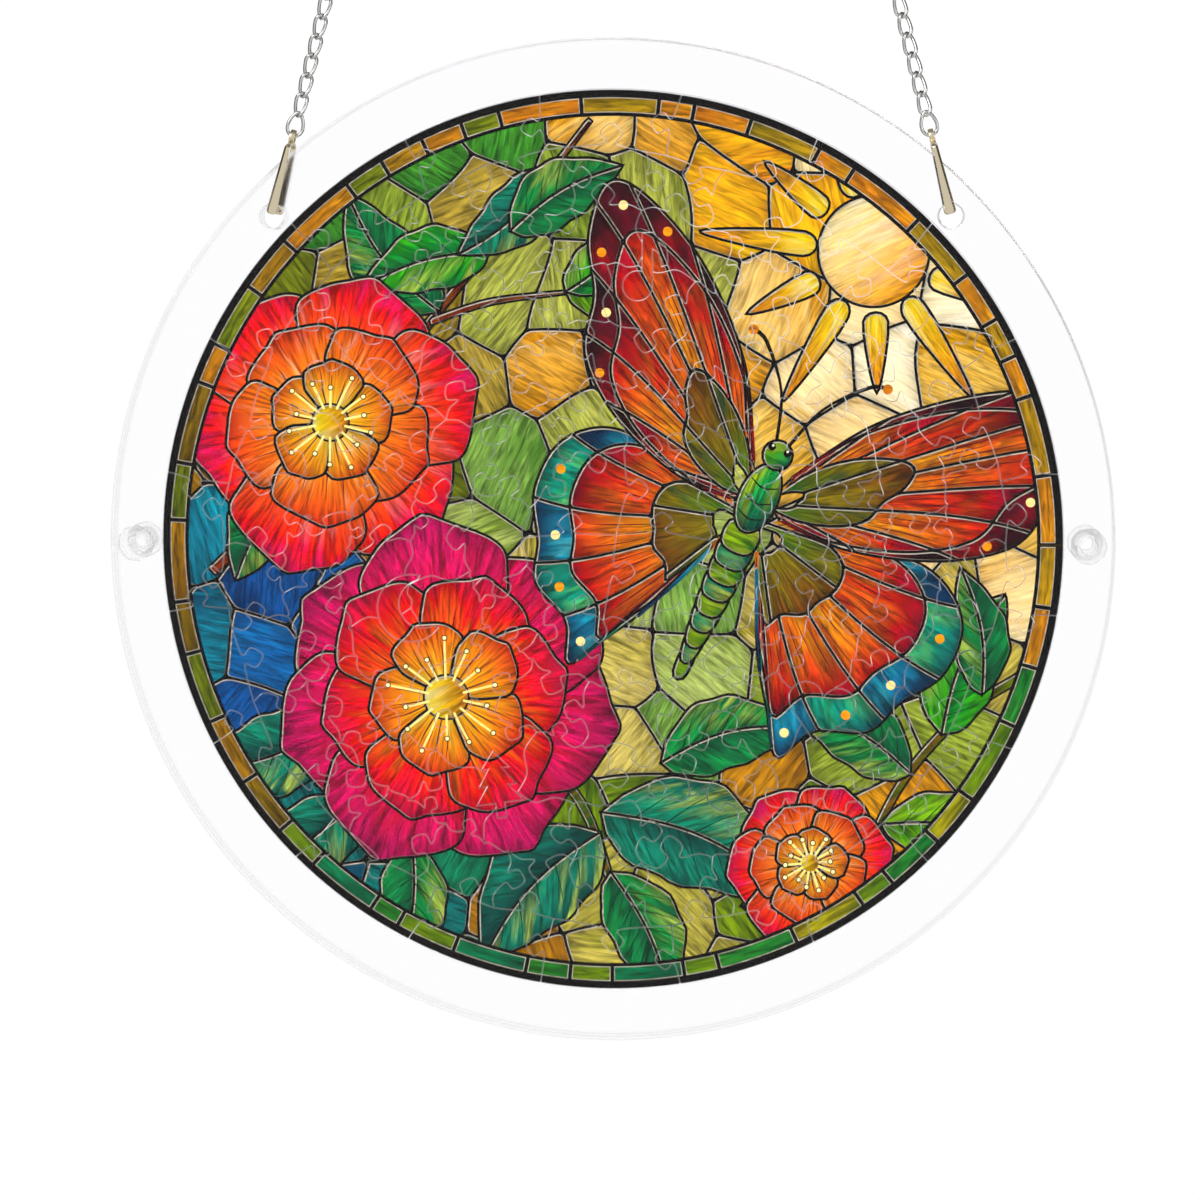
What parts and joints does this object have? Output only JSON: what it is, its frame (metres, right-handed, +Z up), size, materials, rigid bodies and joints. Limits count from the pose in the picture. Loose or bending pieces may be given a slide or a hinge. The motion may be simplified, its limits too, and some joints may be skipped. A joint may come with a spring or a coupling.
{
  "type": "acrylic puzzle suncatcher",
  "caption": "Round suncatcher: a printed jigsaw picture held between clear acrylic panels, hung from two bails on a steel chain that meets in a ring.",
  "frame": {"origin": "top of the hanging ring's eye, where a hook bears", "axes": "+X to the right seen from the printed front, +Y away from the viewer through the disc, +Z up along the pull of the chain"},
  "size_m": [0.2, 0.0136, 0.4402],
  "materials": {
    "clear_acrylic": "clear cast acrylic, polished",
    "clear_plastic": "clear moulded plastic",
    "printed_acrylic": "acrylic printed in bright colours, glossy",
    "steel": "bright plated steel with a faint warm tint"
  },
  "bodies": {
    "root": {"front_panel": "clear_acrylic", "frame_ring": "clear_acrylic", "back_panel": "clear_acrylic", "edge_piece_01": "printed_acrylic", "edge_piece_02": "printed_acrylic", "edge_piece_03": "printed_acrylic", "edge_piece_04": "printed_acrylic", "edge_piece_05": "printed_acrylic", "edge_piece_06": "printed_acrylic", "edge_piece_07": "printed_acrylic", "edge_piece_08": "printed_acrylic", "edge_piece_09": "printed_acrylic", "edge_piece_10": "printed_acrylic", "edge_piece_11": "printed_acrylic", "edge_piece_12": "printed_acrylic", "edge_piece_13": "printed_acrylic", "edge_piece_14": "printed_acrylic", "edge_piece_15": "printed_acrylic", "edge_piece_16": "printed_acrylic", "edge_piece_17": "printed_acrylic", "edge_piece_18": "printed_acrylic", "edge_piece_19": "printed_acrylic", "edge_piece_20": "printed_acrylic", "crescent_piece": "printed_acrylic", "heart_piece": "printed_acrylic", "tree_piece": "printed_acrylic", "note_piece": "printed_acrylic", "clover_piece": "printed_acrylic", "butterfly_piece": "printed_acrylic", "leaf_piece": "printed_acrylic", "puzzle_field": "printed_acrylic", "screw_left": "clear_plastic", "nut_left": "clear_plastic", "bail_left": "steel", "end_link_left": "steel", "chain_left": "steel", "jump_ring_left": "steel", "screw_right": "clear_plastic", "nut_right": "clear_plastic", "bail_right": "steel", "end_link_right": "steel", "chain_right": "steel", "jump_ring_right": "steel", "hanging_ring": "steel"}
  },
  "joints": []
}
